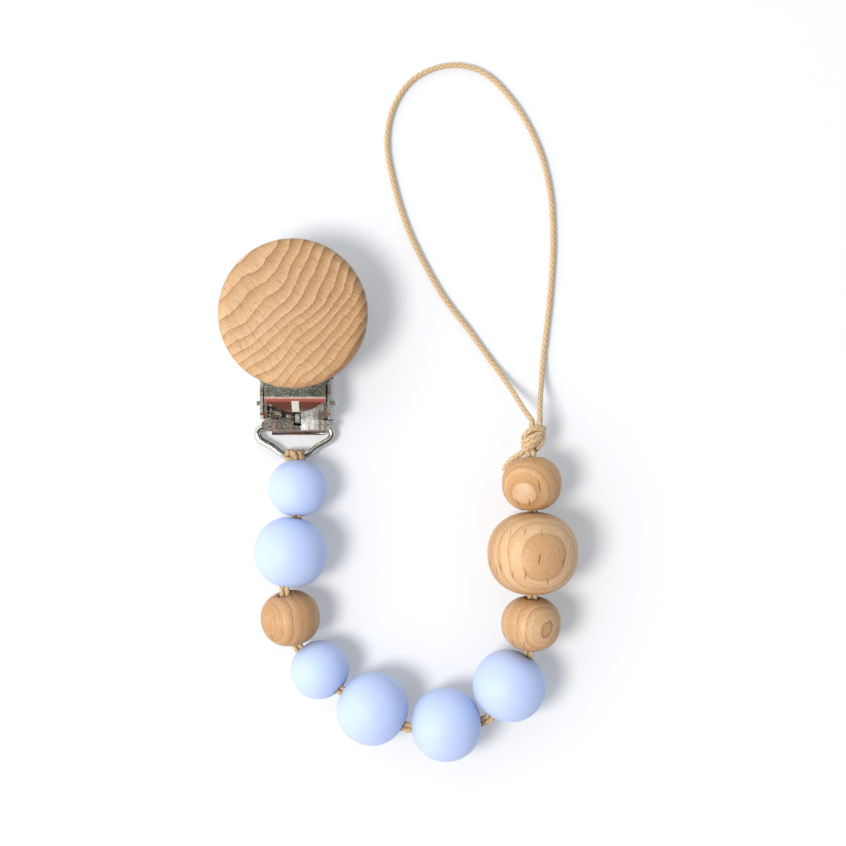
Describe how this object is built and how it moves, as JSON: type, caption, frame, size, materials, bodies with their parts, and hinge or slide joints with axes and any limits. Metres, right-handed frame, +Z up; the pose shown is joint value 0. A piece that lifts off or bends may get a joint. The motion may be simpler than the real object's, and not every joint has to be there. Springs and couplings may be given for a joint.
{
  "type": "soother clip",
  "caption": "Soother clip: sprung metal clip with a round wooden face, a wire ring, a bead string in blue and wood, and a knotted cord loop.",
  "frame": {"origin": "on the clip's flat back, straight below the pivot pin, on the clip's centre line", "axes": "+X across the clip, +Y from the pivot pin towards the jaws, +Z up out of the flat back"},
  "size_m": [0.0725, 0.1434, 0.0182],
  "materials": {
    "nickel": "bright nickel plate on pressed steel",
    "beech": "fine sanded beech, unvarnished",
    "beech_dark": "oiled beech",
    "silicone": "matte baby-blue silicone",
    "nylon": "milky moulded plastic",
    "cord": "waxed braided cotton cord"
  },
  "bodies": {
    "clip_base": {"base_plate": "nickel", "jaw_pad": "nylon", "pivot_pin": "nickel"},
    "lever": {"lever_plate": "nickel", "wood_disc": "beech", "disc_screw_near": "nickel", "disc_screw_far": "nickel"},
    "spring_jaw": {"spring_jaw": "nickel"},
    "ring": {"wire_ring": "nickel"},
    "hitch": {"cord_hitch": "cord"},
    "string_01": {"cord_01": "cord"},
    "bead_01": {"bead_01_silicone_small": "silicone"},
    "string_02": {"cord_02": "cord"},
    "bead_02": {"bead_02_silicone_large": "silicone"},
    "string_03": {"cord_03": "cord"},
    "bead_03": {"bead_03_wood_small": "beech_dark"},
    "string_04": {"cord_04": "cord"},
    "bead_04": {"bead_04_silicone_small": "silicone"},
    "string_05": {"cord_05": "cord"},
    "bead_05": {"bead_05_silicone_large": "silicone"},
    "string_06": {"cord_06": "cord"},
    "bead_06": {"bead_06_silicone_large": "silicone"},
    "string_07": {"cord_07": "cord"},
    "bead_07": {"bead_07_silicone_large": "silicone"},
    "string_08": {"cord_08": "cord"},
    "bead_08": {"bead_08_wood_small": "beech_dark"},
    "string_09": {"cord_09": "cord"},
    "bead_09": {"bead_09_wood_large": "beech_dark"},
    "string_10": {"cord_10": "cord", "cord_tail": "cord"},
    "bead_10": {"bead_10_wood_small": "beech_dark"},
    "loop_end": {"cord_knot": "cord", "loop_cord": "cord"}
  },
  "joints": [
    {"name": "lever_open", "type": "hinge", "parent": "clip_base", "child": "lever", "pos_m": [0, 0, 0.006], "axis": [1, 0, 0], "range_deg": [0, 85]},
    {"name": "jaw_spring", "type": "hinge", "parent": "clip_base", "child": "spring_jaw", "pos_m": [0, -0.005, 0.0032], "axis": [1, 0, 0], "range_deg": [0, 4.5]},
    {"name": "ring_swing", "type": "hinge", "parent": "clip_base", "child": "ring", "pos_m": [0, -0.0052, 0.0015], "axis": [1, 0, 0], "range_deg": [-45, 45]},
    {"name": "hitch_swing", "type": "hinge", "parent": "ring", "child": "hitch", "pos_m": [-0.0007, -0.0108, 0.00175], "axis": [-1, 0, 0], "range_deg": [-30, 30]},
    {"name": "bend_01", "type": "hinge", "parent": "hitch", "child": "string_01", "pos_m": [0.0004, -0.0115, 0.0051], "axis": [0, 0, 1], "range_deg": [-12, 12]},
    {"name": "bead_01_spin", "type": "hinge", "parent": "string_01", "child": "bead_01", "pos_m": [0.0003, -0.0174, 0.006], "axis": [-0.0173, -0.9884, 0.1508], "continuous": true},
    {"name": "bend_02", "type": "hinge", "parent": "string_01", "child": "string_02", "pos_m": [0.00019, -0.0233, 0.0069], "axis": [0, 0, 1], "range_deg": [-6, 18]},
    {"name": "bead_02_spin", "type": "hinge", "parent": "string_02", "child": "bead_02", "pos_m": [-0.00107, -0.03049, 0.00748], "axis": [-0.1731, -0.9817, 0.0797], "continuous": true},
    {"name": "bend_03", "type": "hinge", "parent": "string_02", "child": "string_03", "pos_m": [-0.00241, -0.03807, 0.0081], "axis": [0, 0, -1], "range_deg": [-4, 35]},
    {"name": "bead_03_spin", "type": "hinge", "parent": "string_03", "child": "bead_03", "pos_m": [-0.00125, -0.04406, 0.00658], "axis": [0.1852, -0.9525, -0.2416], "continuous": true},
    {"name": "bend_04", "type": "hinge", "parent": "string_03", "child": "string_04", "pos_m": [-0.00003, -0.05029, 0.005], "axis": [0, 0, 1], "range_deg": [-50, 5]},
    {"name": "bead_04_spin", "type": "hinge", "parent": "string_04", "child": "bead_04", "pos_m": [0.00475, -0.05476, 0.00609], "axis": [0.7214, -0.6727, 0.1644], "continuous": true},
    {"name": "bend_05", "type": "hinge", "parent": "string_04", "child": "string_05", "pos_m": [0.00918, -0.05888, 0.0071], "axis": [0, 0, -1], "range_deg": [-8, 28]},
    {"name": "bead_05_spin", "type": "hinge", "parent": "string_05", "child": "bead_05", "pos_m": [0.0157, -0.0625, 0.00749], "axis": [0.8735, -0.4842, 0.0515], "continuous": true},
    {"name": "bend_06", "type": "hinge", "parent": "string_05", "child": "string_06", "pos_m": [0.02274, -0.0664, 0.0079], "axis": [0, 0, 1], "range_deg": [-50, 5]},
    {"name": "bead_06_spin", "type": "hinge", "parent": "string_06", "child": "bead_06", "pos_m": [0.03076, -0.0657, 0.00751], "axis": [0.995, 0.0871, -0.0481], "continuous": true},
    {"name": "bend_07", "type": "hinge", "parent": "string_06", "child": "string_07", "pos_m": [0.03927, -0.06495, 0.0071], "axis": [0, 0, -1], "range_deg": [-3, 65]},
    {"name": "bead_07_spin", "type": "hinge", "parent": "string_07", "child": "bead_07", "pos_m": [0.04368, -0.05762, 0.00752], "axis": [0.5144, 0.8561, 0.0488], "continuous": true},
    {"name": "bend_08", "type": "hinge", "parent": "string_07", "child": "string_08", "pos_m": [0.04771, -0.05092, 0.0079], "axis": [0, 0, 1], "range_deg": [-42, 3]},
    {"name": "bead_08_spin", "type": "hinge", "parent": "string_08", "child": "bead_08", "pos_m": [0.04803, -0.0447, 0.00873], "axis": [0.0519, 0.9898, 0.133], "continuous": true},
    {"name": "bend_09", "type": "hinge", "parent": "string_08", "child": "string_09", "pos_m": [0.04833, -0.03901, 0.0095], "axis": [0, 0, -1], "range_deg": [-5, 8]},
    {"name": "bead_09_spin", "type": "hinge", "parent": "string_09", "child": "bead_09", "pos_m": [0.04833, -0.03036, 0.00915], "axis": [0, 0.9992, -0.0407], "continuous": true},
    {"name": "bend_10", "type": "hinge", "parent": "string_09", "child": "string_10", "pos_m": [0.04833, -0.02181, 0.0088], "axis": [0, 0, 1], "range_deg": [-8, 5]},
    {"name": "bead_10_spin", "type": "hinge", "parent": "string_10", "child": "bead_10", "pos_m": [0.04814, -0.01621, 0.00851], "axis": [-0.0349, 0.998, -0.0519], "continuous": true},
    {"name": "loop_bend", "type": "hinge", "parent": "string_10", "child": "loop_end", "pos_m": [0.04793, -0.01026, 0.0082], "axis": [0, 0, -1], "range_deg": [-8, 30]}
  ],
  "couplings": [
    {"joint": "jaw_spring", "follows": "lever_open", "ratio": 0.05}
  ]
}
